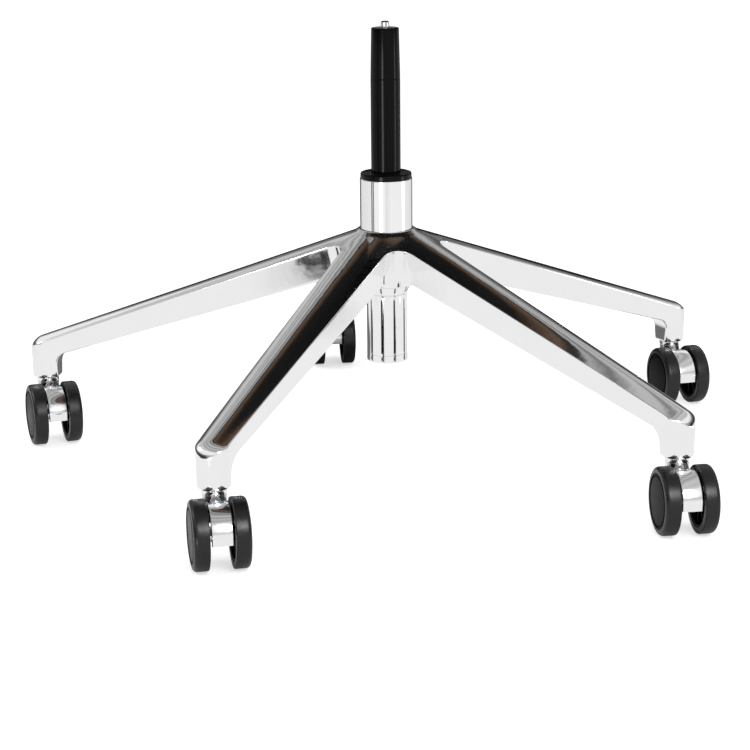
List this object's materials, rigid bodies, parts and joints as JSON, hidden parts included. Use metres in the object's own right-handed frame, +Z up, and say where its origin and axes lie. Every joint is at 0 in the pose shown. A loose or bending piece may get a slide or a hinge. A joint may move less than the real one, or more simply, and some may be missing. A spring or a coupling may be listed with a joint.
{
  "type": "office chair five star base",
  "caption": "Polished star base with swivelling twin wheel casters and a gas lift column that turns, rises and ends in a taper for the seat mechanism.",
  "frame": {"origin": "on the floor, under the axis of the column", "axes": "+Z up along the column, -Y along the first leg, the other legs follow every 72 degrees towards +X"},
  "size_m": [0.718, 0.6929, 0.414],
  "materials": {
    "polished_aluminium": "mirror polished casting",
    "chrome_tube": "bright chrome plated tube",
    "chrome_casting": "bright chrome plated die casting",
    "black_steel": "satin black coating",
    "bushing_plastic": "moulded black plastic",
    "machined_alloy": "turned",
    "rod_steel": "ground steel",
    "bearing_steel": "hardened and ground",
    "button_steel": "ground steel",
    "nylon_cage": "natural nylon",
    "bumper_rubber": "moulded black rubber",
    "wheel_nylon": "moulded black nylon, fine satin texture",
    "tread_rubber": "soft dark grey tread"
  },
  "bodies": {
    "base": {"star_base": "polished_aluminium", "standpipe": "chrome_tube", "guide_bushing": "bushing_plastic", "bottom_plate": "rod_steel", "lower_race": "bearing_steel", "bearing_balls": "bearing_steel", "bearing_cage": "nylon_cage", "caster_1_grip_ring": "bearing_steel", "caster_2_grip_ring": "bearing_steel", "caster_3_grip_ring": "bearing_steel", "caster_4_grip_ring": "bearing_steel", "caster_5_grip_ring": "bearing_steel"},
    "rod": {"piston_rod": "rod_steel", "piston": "machined_alloy", "upper_race": "bearing_steel", "bumper_ring": "bumper_rubber", "retaining_clip": "bearing_steel"},
    "cylinder": {"lift_cylinder": "black_steel", "rod_gland": "bushing_plastic"},
    "button": {"release_button": "button_steel"},
    "caster_1": {"caster_1_body": "chrome_casting", "caster_1_neck_ring": "chrome_casting", "caster_1_stem": "rod_steel", "caster_1_axle": "rod_steel"},
    "caster_1_left_wheel": {"caster_1_left_core": "wheel_nylon", "caster_1_left_tyre": "tread_rubber"},
    "caster_1_right_wheel": {"caster_1_right_core": "wheel_nylon", "caster_1_right_tyre": "tread_rubber"},
    "caster_2": {"caster_2_body": "chrome_casting", "caster_2_neck_ring": "chrome_casting", "caster_2_stem": "rod_steel", "caster_2_axle": "rod_steel"},
    "caster_2_left_wheel": {"caster_2_left_core": "wheel_nylon", "caster_2_left_tyre": "tread_rubber"},
    "caster_2_right_wheel": {"caster_2_right_core": "wheel_nylon", "caster_2_right_tyre": "tread_rubber"},
    "caster_3": {"caster_3_body": "chrome_casting", "caster_3_neck_ring": "chrome_casting", "caster_3_stem": "rod_steel", "caster_3_axle": "rod_steel"},
    "caster_3_left_wheel": {"caster_3_left_core": "wheel_nylon", "caster_3_left_tyre": "tread_rubber"},
    "caster_3_right_wheel": {"caster_3_right_core": "wheel_nylon", "caster_3_right_tyre": "tread_rubber"},
    "caster_4": {"caster_4_body": "chrome_casting", "caster_4_neck_ring": "chrome_casting", "caster_4_stem": "rod_steel", "caster_4_axle": "rod_steel"},
    "caster_4_left_wheel": {"caster_4_left_core": "wheel_nylon", "caster_4_left_tyre": "tread_rubber"},
    "caster_4_right_wheel": {"caster_4_right_core": "wheel_nylon", "caster_4_right_tyre": "tread_rubber"},
    "caster_5": {"caster_5_body": "chrome_casting", "caster_5_neck_ring": "chrome_casting", "caster_5_stem": "rod_steel", "caster_5_axle": "rod_steel"},
    "caster_5_left_wheel": {"caster_5_left_core": "wheel_nylon", "caster_5_left_tyre": "tread_rubber"},
    "caster_5_right_wheel": {"caster_5_right_core": "wheel_nylon", "caster_5_right_tyre": "tread_rubber"}
  },
  "joints": [
    {"name": "seat_turn", "type": "hinge", "parent": "base", "child": "rod", "pos_m": [0, 0, 0.1], "axis": [0, 0, 1], "continuous": true},
    {"name": "seat_height", "type": "slide", "parent": "rod", "child": "cylinder", "axis": [0, 0, 1], "range_m": [-0.085, 0], "stiffness_N_per_m": 250, "springref_m": 0.8},
    {"name": "release_press", "type": "slide", "parent": "cylinder", "child": "button", "axis": [0, 0, 1], "range_m": [-0.003, 0], "stiffness_N_per_m": 400, "springref_m": 0.002},
    {"name": "caster_1_swivel", "type": "hinge", "parent": "base", "child": "caster_1", "pos_m": [0, -0.342, 0.0625], "axis": [0, 0, 1], "continuous": true},
    {"name": "caster_1_left_roll", "type": "hinge", "parent": "caster_1", "child": "caster_1_left_wheel", "pos_m": [0.01448, -0.36114, 0.03], "axis": [0.7976, 0.6032, 0], "continuous": true},
    {"name": "caster_1_right_roll", "type": "hinge", "parent": "caster_1", "child": "caster_1_right_wheel", "pos_m": [0.01448, -0.36114, 0.03], "axis": [0.7976, 0.6032, 0], "continuous": true},
    {"name": "caster_2_swivel", "type": "hinge", "parent": "base", "child": "caster_2", "pos_m": [0.32526, -0.10568, 0.0625], "axis": [0, 0, 1], "continuous": true},
    {"name": "caster_2_left_roll", "type": "hinge", "parent": "caster_2", "child": "caster_2_left_wheel", "pos_m": [0.33851, -0.1257, 0.03], "axis": [0.8339, 0.5519, 0], "continuous": true},
    {"name": "caster_2_right_roll", "type": "hinge", "parent": "caster_2", "child": "caster_2_right_wheel", "pos_m": [0.33851, -0.1257, 0.03], "axis": [0.8339, 0.5519, 0], "continuous": true},
    {"name": "caster_3_swivel", "type": "hinge", "parent": "base", "child": "caster_3", "pos_m": [0.20102, 0.27668, 0.0625], "axis": [0, 0, 1], "continuous": true},
    {"name": "caster_3_left_roll", "type": "hinge", "parent": "caster_3", "child": "caster_3_left_wheel", "pos_m": [0.2167, 0.25852, 0.03], "axis": [0.757, 0.6534, 0], "continuous": true},
    {"name": "caster_3_right_roll", "type": "hinge", "parent": "caster_3", "child": "caster_3_right_wheel", "pos_m": [0.2167, 0.25852, 0.03], "axis": [0.757, 0.6534, 0], "continuous": true},
    {"name": "caster_4_swivel", "type": "hinge", "parent": "base", "child": "caster_4", "pos_m": [-0.20102, 0.27668, 0.0625], "axis": [0, 0, 1], "continuous": true},
    {"name": "caster_4_left_roll", "type": "hinge", "parent": "caster_4", "child": "caster_4_left_wheel", "pos_m": [-0.1882, 0.2564, 0.03], "axis": [0.8453, 0.5344, 0], "continuous": true},
    {"name": "caster_4_right_roll", "type": "hinge", "parent": "caster_4", "child": "caster_4_right_wheel", "pos_m": [-0.1882, 0.2564, 0.03], "axis": [0.8453, 0.5344, 0], "continuous": true},
    {"name": "caster_5_swivel", "type": "hinge", "parent": "base", "child": "caster_5", "pos_m": [-0.32526, -0.10568, 0.0625], "axis": [0, 0, 1], "continuous": true},
    {"name": "caster_5_left_roll", "type": "hinge", "parent": "caster_5", "child": "caster_5_left_wheel", "pos_m": [-0.30844, -0.1228, 0.03], "axis": [0.7133, 0.7009, 0], "continuous": true},
    {"name": "caster_5_right_roll", "type": "hinge", "parent": "caster_5", "child": "caster_5_right_wheel", "pos_m": [-0.30844, -0.1228, 0.03], "axis": [0.7133, 0.7009, 0], "continuous": true}
  ]
}
